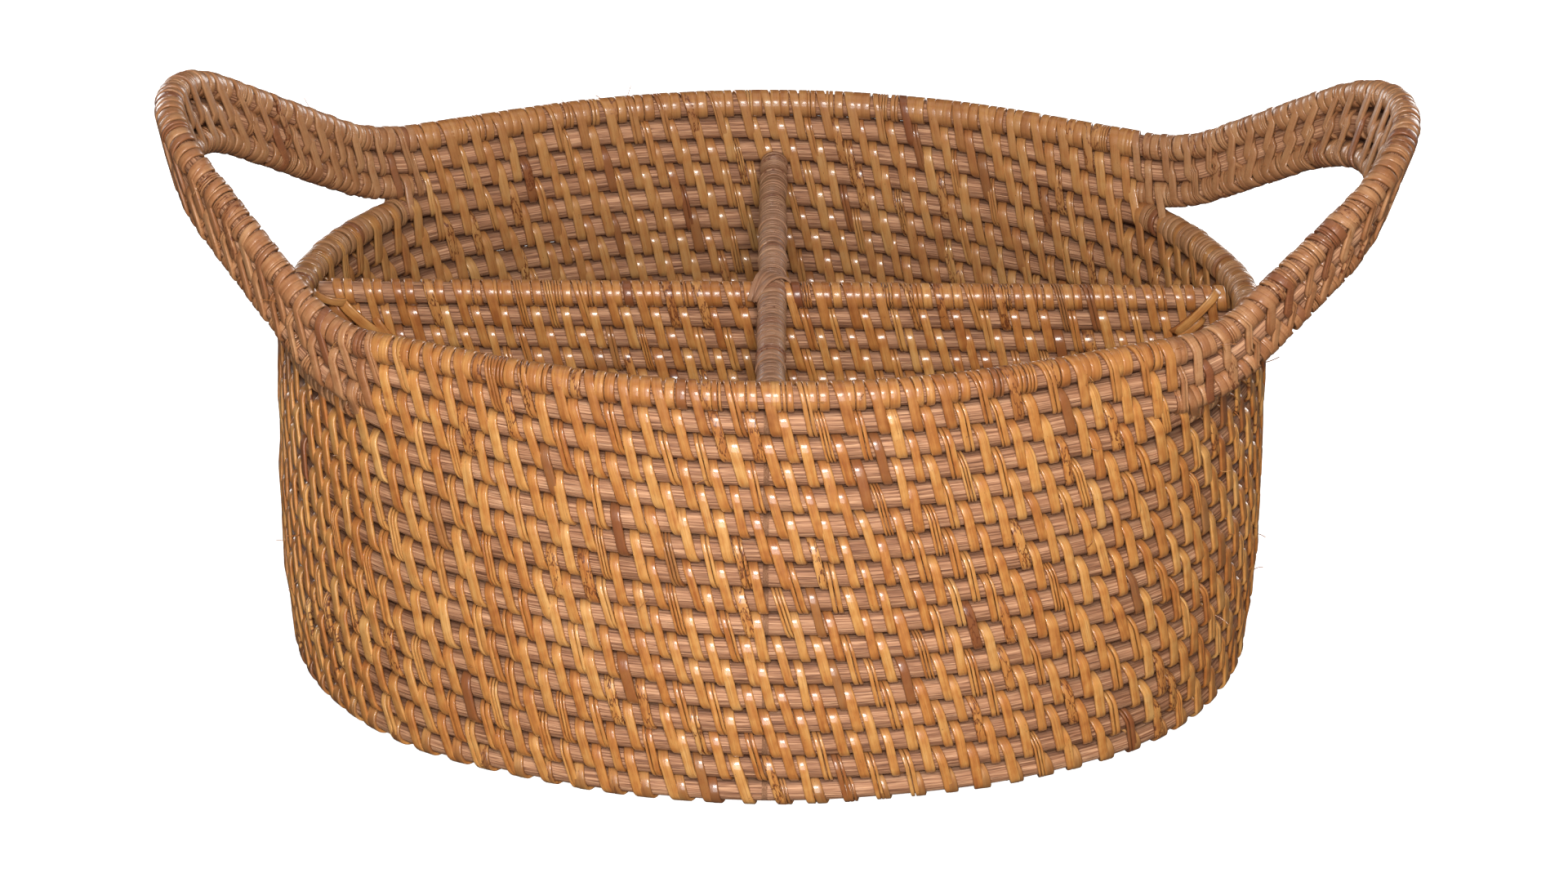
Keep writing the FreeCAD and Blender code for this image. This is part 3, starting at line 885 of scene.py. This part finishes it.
def hoop_rod(level):
    """One hoop rod: full in the long walls, slimmer in the handles."""
    path = hoop_paths[level]
    over = np.abs(path[:, 0] - body_x) - RIM_END
    radius = np.interp(over, HOOP_TAPER, [hoop_radius, HANDLE_ROD_RADIUS])
    above = touching(path, hoop_paths[level - 1], radius) if level > 0 else radius
    stack = hoop_paths[0] - hoop_paths[2]
    if level < 2:
        below = touching(path, hoop_paths[level + 1], radius)
    else:
        to_wall = path - beside_wall(path)
        near = np.abs(path[:, 0] - body_x) < HOOP_STITCHES_END
        stack = np.where(near[:, None], to_wall, stack)
        reach = np.linalg.norm(to_wall, axis=1) - rod_radius + HOOP_FOOT_OVERLAP
        below = np.where(near, np.clip(reach, coil_pitch / 2, radius + HOOP_FOOT_REACH), radius)
    return tube_block(path, radius, True, 60 + level, level=stack, above=above, below=below)


rod_piece(
    "hoop_rods",
    [hoop_rod(level) for level in range(3)],
    ["hoop_coil_upper", "hoop_coil_middle", "hoop_coil_lower"],
)

RIM_PEEL = ["rim_binding_front", "rim_binding_back"]
HANDLE_PEEL = ["handle_binding_left", "handle_binding_right"]
TOP_ROW = WALL_ROWS + 3

for row in range(WALL_ROWS + 1, TOP_ROW + 1):
    rng = np.random.default_rng(2000 + row)
    track = hoop_tracks[row]
    counts = row_counts(track, row)
    if row == WALL_ROWS + 1:
        counts = in_zone(track, counts, farthest=HOOP_STITCHES_END)
    way = LONG_OVER_RIM if row == TOP_ROW else LONG
    stitches = stitch_set(rng, in_zone(track, counts, **ON_WALL))
    blocks = [bound(track, stitches, way, hoop_radius, crack=0.15)]
    strip_piece("rim_stitches_%02d" % row, blocks, RIM_PEEL, shaded_peel_material if row == TOP_ROW else None)
    stitches = stitch_set(rng, in_zone(track, counts, **ON_HANDLE), HANDLE_STITCH_WIDTH, split=0.3)
    blocks = [bound(track, stitches, way, HANDLE_ROD_RADIUS, 1.1, lift=0.15, crack=0.6)]
    strip_piece("handle_stitches_%02d" % row, blocks, HANDLE_PEEL, weathered_material)


def between(track, row, shares, nearest=-1.0, farthest=math.inf):
    """Counts of short wraps at given shares of a pitch after each long stitch of a row."""
    counts = np.concatenate([row_counts(track, row) + share for share in shares])
    return in_zone(track, np.sort(counts), nearest, farthest)


def uneven_wraps(rng, counts, width, **chances):
    """Close short wraps, some standing higher than their neighbours."""
    stitches = stitch_set(rng, counts, width, **({"split": 0.3, "jitter": 0.03, "dark": 0.08} | chances))
    stitches[4] *= rng.uniform(1, 4, len(stitches[4]))
    return stitches


rng = np.random.default_rng(3001)
top_track = hoop_tracks[TOP_ROW]
counts = between(top_track, TOP_ROW, (0.335, 0.665), **ON_WALL)
stitches = stitch_set(rng, counts, RIM_WRAP_WIDTH, split=0.2, jitter=0.02)
blocks = [bound(top_track, stitches, short_wrap(0.16), hoop_radius, crack=0.25)]
strip_piece("rim_wraps", blocks, RIM_PEEL, shaded_peel_material)

rng = np.random.default_rng(3002)
for word, track, row, shares in (
    ("upper", top_track, TOP_ROW, (0.335, 0.665)),
    ("lower", handle_low_track, WALL_ROWS + 1, (0.29, 0.63)),
):
    stitches = uneven_wraps(rng, between(track, row, shares, **ON_HANDLE), HANDLE_WRAP_WIDTH)
    blocks = [bound(track, stitches, short_wrap(0.18), HANDLE_ROD_RADIUS, crack=0.7)]
    strip_piece("handle_wraps_" + word, blocks, HANDLE_PEEL, weathered_material)

rng = np.random.default_rng(3003)
end_track = wall_tracks[WALL_ROWS]
counts = between(end_track, WALL_ROWS, (0.25, 0.5, 0.75), nearest=END_WRAPS_START)
stitches = uneven_wraps(rng, counts, END_RIM_WRAP_WIDTH)
blocks = [bound(end_track, stitches, short_wrap(0.2), rod_radius, olive=(0.5, 0.2))]
strip_piece("end_rim_wraps", blocks, WALL_PEEL, weathered_material)


# ------------------------------------------------------------------ base

base_paths = [base_ring_path(ring) for ring in range(BASE_RINGS + 1)]
core_low, core_high = node_box("base_core_rod")
base_radius = (core_high[2] - core_low[2]) / 2
core_middle = (core_low + core_high) / 2
core_ends = [[x, core_middle[1], core_middle[2]] for x in (core_low[0], core_high[0])]
core = np.linspace(*core_ends, 30)
core_reach = touching(base_paths[1], base_paths[0], base_radius).max()


def base_rod(ring):
    """One ring of the base, filling its share of the gaps to the rings beside it."""
    path = base_paths[ring][::2]
    inner = base_paths[ring - 1][::2]
    outer = (base_paths[ring + 1] if ring < BASE_RINGS else wall_paths[1])[::2]
    inward = touching(path, inner, base_radius)
    outward = touching(path, outer, base_radius)
    if ring == BASE_RINGS:
        outward = np.maximum(2 * outward - rod_radius, base_radius)
    stack = outer - inner
    return tube_block(path, base_radius, True, 90 + ring, 10, level=stack, above=outward, below=inward)


rod_piece(
    "base_rods",
    [tube_block(core, base_radius, False, 90, level=(0.0, 1.0, 0.0), above=core_reach, below=core_reach)]
    + [base_rod(ring) for ring in range(1, BASE_RINGS + 1)],
    ["base_core_rod"] + ["base_coil_%02d" % ring for ring in range(1, BASE_RINGS + 1)],
)
rng = np.random.default_rng(4001)
blocks = []
for ring in range(1, BASE_RINGS + 1):
    distance = lengths(base_paths[ring])
    around = max(round(distance[-1] / BASE_PITCH), 8)
    track = make_track(base_paths[ring], base_paths[ring - 1], distance / distance[-1] * around)
    stitches = stitch_set(rng, np.arange(around) + rng.random(), split=0.1)
    blocks.append(bound(track, stitches, long_stitch(4, 2), base_radius))
for part, share in (("inner", blocks[:8]), ("outer", blocks[8:])):
    strip_piece("base_stitches_" + part, share, ["base_binding_bottom", "base_binding_top"])


# ------------------------------------------------------------------ dividers

def panel_tracks(start, end):
    """Rod paths and stitch tracks of a flat panel of straight rods, from its ends in plan."""
    paths = []
    for height in heights:
        first, last = np.array(start + (height,), float), np.array(end + (height,), float)
        path = np.linspace(first, last, max(int(np.linalg.norm(last - first) / ROD_STEP), 2) + 1)
        stray = wobble(len(path), int(height * 10) + int(start[1]), 0.18, (1, 2, 3, 5))
        paths.append(path + stray[:, None] * unit(np.cross(last - first, UP)))
    counts = lengths(paths[0]) / DIVIDER_PITCH
    return paths, [make_track(paths[k], paths[k - 1], counts, False) for k in range(1, len(paths))]


def inner_counts(track, phase, margin=0.45):
    """Stitch counts that keep clear of both ends of an open track."""
    return np.arange(margin + phase, track["total"] - margin, 1.0)


top_low, top_high = node_box("long_divider_top_rod")
rods_low, rods_high = node_box("long_divider_rods")
divider_radius = (top_high[2] - top_low[2]) / 2
divider_top = (top_high[2] + top_low[2]) / 2
divider_bottom = rods_low[2] + divider_radius
heights = np.linspace(divider_bottom, divider_top, DIVIDER_RODS)
divider_half_pitch = (heights[1] - heights[0]) / 2 + FILL_OVERLAP


def divider_rod(path, number, seed):
    """One rod of a divider, filling its share of the gaps to the rods above and below."""
    below = divider_half_pitch if number > 0 else divider_radius
    above = divider_half_pitch if number < DIVIDER_RODS - 1 else divider_radius
    return tube_block(path, divider_radius, False, seed + number, above=above, below=below)


def divider_stitches(rng, track, row, width, **chances):
    """Block of long stitches on one rod of a divider."""
    stitches = stitch_set(rng, inner_counts(track, row_phase(row)), width, **chances)
    return bound(track, stitches, LONG, divider_radius, DIVIDER_PEEL_THICKNESS, olive=(0.1, 0.5))


paths, tracks = panel_tracks((rods_low[0], 0.0), (rods_high[0], 0.0))
lower_rods = [divider_rod(path, k, 120) for k, path in enumerate(paths[:-1])]
rod_piece("long_divider_lower_rods", lower_rods, ["long_divider_rods"])
inset = int(round((top_low[0] - rods_low[0]) / ROD_STEP))
upper_rod = divider_rod(paths[-1][inset:-inset or None], DIVIDER_RODS - 1, 126)
rod_piece("long_divider_upper_rod", [upper_rod], ["long_divider_top_rod"])

rng = np.random.default_rng(5001)
blocks = [
    divider_stitches(rng, track, row, LONG_DIVIDER_STITCH_WIDTH, split=0.25, dark=0.12)
    for row, track in enumerate(tracks[:-1], 1)
]
LONG_DIVIDER_PEEL = ["long_divider_binding_front", "long_divider_binding_back"]
for part, share in (("lower", blocks[:7]), ("upper", blocks[7:])):
    strip_piece("long_divider_stitches_" + part, share, LONG_DIVIDER_PEEL)

rng = np.random.default_rng(5002)
top_track = tracks[-1]
counts = inner_counts(top_track, row_phase(DIVIDER_RODS - 1))
close = np.abs(counts - top_track["total"] / 2) < CLOSE_WRAPS_END / DIVIDER_PITCH
extra = np.concatenate([counts[close] + 0.335, counts[close] + 0.665, counts[~close] + 0.42])
extra = extra[extra < top_track["total"] - 0.5]
wraps = stitch_set(rng, np.sort(extra), LONG_DIVIDER_TOP_WIDTH, split=0.3, dark=0.12, jitter=0.02)
stitches = stitch_set(rng, counts, LONG_DIVIDER_TOP_WIDTH, split=0.25, dark=0.12, jitter=0.02)
blocks = [
    bound(top_track, wraps, short_wrap(0.34), divider_radius, DIVIDER_PEEL_THICKNESS),
    bound(top_track, stitches, LONG_OVER_RIM, divider_radius, DIVIDER_PEEL_THICKNESS),
]
strip_piece("long_divider_top_wraps", blocks, LONG_DIVIDER_PEEL, shaded_peel_material)

for side, word in ((-1, "front"), (1, "back")):
    low, high = node_box("cross_divider_%s_rods" % word)
    near, far = (high[1], low[1]) if side < 0 else (low[1], high[1])
    paths, tracks = panel_tracks((body_x, near), (body_x, far))
    rods = [divider_rod(path, k, 160) for k, path in enumerate(paths)]
    rod_piece("cross_divider_%s_panel" % word, rods, ["cross_divider_%s_rods" % word])
    rng = np.random.default_rng(5010 + side)
    blocks = [
        divider_stitches(rng, track, row, CROSS_DIVIDER_STITCH_WIDTH, dark=0.1)
        for row, track in enumerate(tracks, 1)
    ]
    nodes = ["cross_divider_%s_binding" % word]
    strip_piece("cross_divider_%s_stitches" % word, blocks, nodes)
    counts = np.arange(0.2, tracks[-1]["total"] - 0.15, 0.335)
    stitches = uneven_wraps(rng, counts, CROSS_DIVIDER_TOP_WIDTH, split=0.95, dark=0.12)
    blocks = [bound(tracks[-1], stitches, short_wrap(0.12), divider_radius, 0.8, lift=0.25)]
    strip_piece("cross_divider_%s_top_wraps" % word, blocks, nodes, dull_material)


# ------------------------------------------------------------------ lashings

def free_strips(rng, lines, width, thickness=0.85, dark=0.1):
    """Block of strips that follow given lines; each line is a pair of points and outward directions."""
    centre = np.array([line[0] for line in lines])
    normal = np.array([line[1] for line in lines])
    count, steps = centre.shape[:2]
    widths = np.full((count, steps), width) * (1 + rng.normal(0, 0.08, (count, 1)))
    shade = rng.uniform(0.2, 0.8, count)[:, None, None]
    return lay_strips(centre, normal, widths, thickness, rng.random(count), shade=shade, dark=dark)


def arched(start, end, normal, rise, steps=14, dip=1.2):
    """Line from one point to another that lies over something, with both ends turned in."""
    share = np.linspace(0, 1, steps)[:, None]
    bow = 1 - (2 * share - 1) ** 2
    ends = np.clip((np.abs(2 * share - 1) - 0.75) / 0.25, 0, 1) ** 2
    return start + (end - start) * share + normal * (rise * bow - dip * ends), np.tile(normal, (steps, 1))


# Lashing over the crossing: the cross divider's wraps go on over a hump, under slanting strands
HUMP_HALF_WIDTH = 7.5
HUMP_RISE = 1.7
STRANDS_OVER_HUMP = 6
STRAND_SPACING = 1.15
rng = np.random.default_rng(6001)
hump_y = np.linspace(-HUMP_HALF_WIDTH, HUMP_HALF_WIDTH, 25)
hump_z = divider_top + HUMP_RISE * np.cos(hump_y / HUMP_HALF_WIDTH * math.pi / 2)
hump = np.column_stack([np.full(25, body_x), hump_y, hump_z])
hump_track = make_track(hump, hump - UP * 5, lengths(hump) / DIVIDER_PITCH, False)
counts = np.arange(0.12, hump_track["total"] - 0.05, 0.2)
stitches = stitch_set(rng, counts, 1.8, split=0.5, dark=0.2, jitter=0.02)
over_half = short_wrap(0.1)
over_half["angle"] = over_half["angle"] * 0.62
blocks = [bound(hump_track, stitches, over_half, divider_radius, 0.8, lift=0.5)]
crossing_middle = np.array([body_x - 0.8, 0.4, hump_z.max() + divider_radius + 1.2])
strands = []
for step, angle in enumerate(np.linspace(-14, 14, STRANDS_OVER_HUMP)):
    turn = math.radians(52 + angle)
    way = np.array([math.cos(turn), math.sin(turn), 0.0])
    side = np.array([-way[1], way[0], 0.0])
    centre = crossing_middle + side * (step - (STRANDS_OVER_HUMP - 1) / 2) * STRAND_SPACING
    share = np.linspace(-1, 1, 18)[:, None]
    reach = 7.2 + rng.uniform(-0.8, 0.8)
    line = centre + way * reach * share - UP * 5.6 * np.abs(share) ** 2.2 + UP * rng.uniform(0, 0.35)
    strands.append((line, unit(UP + way * share * 0.9)))
blocks.append(free_strips(rng, strands, 1.35, thickness=0.7))
strip_piece("crossing_lashing", blocks, ["crossing_tie"], dull_material)

# End lashings, on the front face of the long divider: each strand's start and end as x from the body's
# middle and z, then its width, how far it bows out, and its darkness
face_y = -divider_radius - 0.9
END_STRANDS = {
    "left": (
        ((-136.5, 115.2), (-127.6, 112.6), 2.7, 1.6, 0.3),
        ((-128.9, 112.6), (-116.4, 100.6), 3.0, 1.3, 0.0),
        ((-131.6, 111.2), (-123.6, 100.8), 2.8, 0.7, 0.5),
        ((-119.0, 107.2), (-112.6, 98.0), 2.8, 0.6, 0.1),
    ),
    "right": (
        ((133.2, 118.0), (120.9, 104.2), 3.0, 1.7, 0.05),
        ((130.6, 115.2), (119.8, 104.8), 1.6, 1.0, 0.3),
        ((129.3, 108.9), (119.6, 100.6), 2.6, 0.8, 0.0),
    ),
}
for word, strands in END_STRANDS.items():
    rng = np.random.default_rng(6010 + len(strands))
    blocks = []
    for (start_x, start_z), (end_x, end_z), width, rise, dark in strands:
        start = np.array([body_x + start_x, face_y, start_z])
        end = np.array([body_x + end_x, face_y, end_z])
        line = arched(start, end, np.array([0.0, -1.0, 0.0]), rise)
        blocks.append(free_strips(rng, [line], width, dark=dark))
    strip_piece("end_lashing_" + word, blocks, ["divider_end_tie_" + word], shaded_peel_material)


# ------------------------------------------------------------------ loose fibres

def loose_fibres(rng, tracks_and_radii, tilt_chance, count):
    """Thin frayed fibres that stand off the outer face of the stitches; some are tilted up."""
    lines = []
    for _ in range(count):
        track, radius = tracks_and_radii[rng.integers(len(tracks_and_radii))]
        at = np.array([rng.uniform(0, track["total"])])
        root = sample(track, "main", at)[0]
        heading = unit(sample(track, "heading", at)[0])
        up = unit((sample(track, "main", at) - sample(track, "mate", at))[0])
        outward = unit(np.cross(heading, up))
        if rng.random() < tilt_chance:
            outward = unit(outward + up * rng.uniform(0.4, 1.5))
        root = root + outward * (radius + 0.6)
        away = unit(outward + heading * rng.normal(0, 0.9) + up * rng.normal(0, 0.7))
        curl = unit(rng.normal(0, 1, 3))
        share = np.linspace(0, 1, 7)[:, None]
        length = rng.uniform(2.0, 5.5)
        line = root + away * length * share + curl * length * 0.35 * share ** 2
        lines.append((line, np.tile(unit(np.cross(away, curl)), (7, 1))))
    return free_strips(rng, lines, 0.24, thickness=0.16, dark=0.5)


rng = np.random.default_rng(7001)
upper_tracks = [(hoop_tracks[row], HANDLE_ROD_RADIUS) for row in (TOP_ROW, TOP_ROW - 1)]
wall_fibre_tracks = [(wall_tracks[row], rod_radius) for row in range(4, WALL_ROWS + 1)]
blocks = [loose_fibres(rng, upper_tracks, 0.5, 34), loose_fibres(rng, wall_fibre_tracks, 0.0, 46)]
strip_piece("loose_fibres", blocks, ["wall_binding_outer"])


# ------------------------------------------------------------------ studio

FLOOR_REACH = 6.0
BACKDROP_SIDES = 48
CAMERA_LENS = 97.6
CAMERA_PLACE = Vector((-0.0004, -1.1446, 0.6806))
CAMERA_TARGET = Vector((-0.0004, 0, 0.0643))
CAMERA_ROLL = math.radians(0.45)
LAMP_TARGET = Vector((0, 0, 0.06))
LAMPS = (
    ("key", (0.03, -1.1, 0.85), 0.42, 19.3),
    ("front", (0.0, -0.9, 0.2), 0.42, 4.2),
    ("top", (0.0, 0.3, 1.5), 1.0, 2.5),
    ("back_left", (-1.1, 1.3, 0.36), 0.8, 17.0),
    ("back_right", (1.1, 1.3, 0.36), 0.8, 17.0),
)


def add_surround(name, corners, faces, material):
    """Part of the pale surroundings, which neither lights the object nor is mirrored in it."""
    mesh = bpy.data.meshes.new(name)
    mesh.from_pydata(corners, [], faces)
    mesh.materials.append(material)
    surround = add_object(name, mesh)
    surround.visible_diffuse = False
    surround.visible_glossy = False
    return surround


def studio():
    """Pale floor and backdrop, soft lamps and the camera."""
    n = Nodes("floor")
    n.fix(Base_Color=(0.93, 0.93, 0.93, 1), Roughness=0.9)
    n.fix(Emission_Color=(1, 1, 1, 1), Emission_Strength=0.82)
    reach, count = FLOOR_REACH, BACKDROP_SIDES
    square = [(-reach, -reach, 0), (reach, -reach, 0), (reach, reach, 0), (-reach, reach, 0)]
    add_surround("floor", square, [(0, 1, 2, 3)], n.material)
    turns = np.linspace(0, 2 * math.pi, count + 1)[:-1]
    ring = [(reach * math.cos(turn), reach * math.sin(turn)) for turn in turns]
    corners = [(x, y, 0) for x, y in ring] + [(x, y, reach) for x, y in ring]
    walls = [(k, (k + 1) % count, (k + 1) % count + count, k + count) for k in range(count)]
    add_surround("backdrop", corners, walls, n.material).visible_shadow = False

    world = bpy.data.worlds.new("studio")
    bpy.context.scene.world = world
    world.use_nodes = True
    background = world.node_tree.nodes["Background"]
    background.inputs["Color"].default_value = (1, 1, 1, 1)
    background.inputs["Strength"].default_value = 0.045

    for name, place, width, power in LAMPS:
        light = bpy.data.lights.new(name, "AREA")
        light.size = width
        light.energy = power
        lamp = add_object(name, light)
        lamp.location = place
        lamp.visible_camera = False
        lamp.rotation_mode = "QUATERNION"
        lamp.rotation_quaternion = (LAMP_TARGET - Vector(place)).to_track_quat("-Z", "Y")

    camera_data = bpy.data.cameras.new("camera")
    camera = add_object("camera", camera_data)
    camera_data.sensor_width = 36.0
    camera_data.lens = CAMERA_LENS
    camera_data.clip_start, camera_data.clip_end = 0.05, 20
    aim = (CAMERA_TARGET - CAMERA_PLACE).to_track_quat("-Z", "Y").to_matrix().to_4x4()
    roll = Matrix.Rotation(CAMERA_ROLL, 4, "Z")
    camera.matrix_world = Matrix.Translation(CAMERA_PLACE) @ aim @ roll
    bpy.context.scene.camera = camera
    bpy.context.scene.view_settings.view_transform = "Standard"


studio()
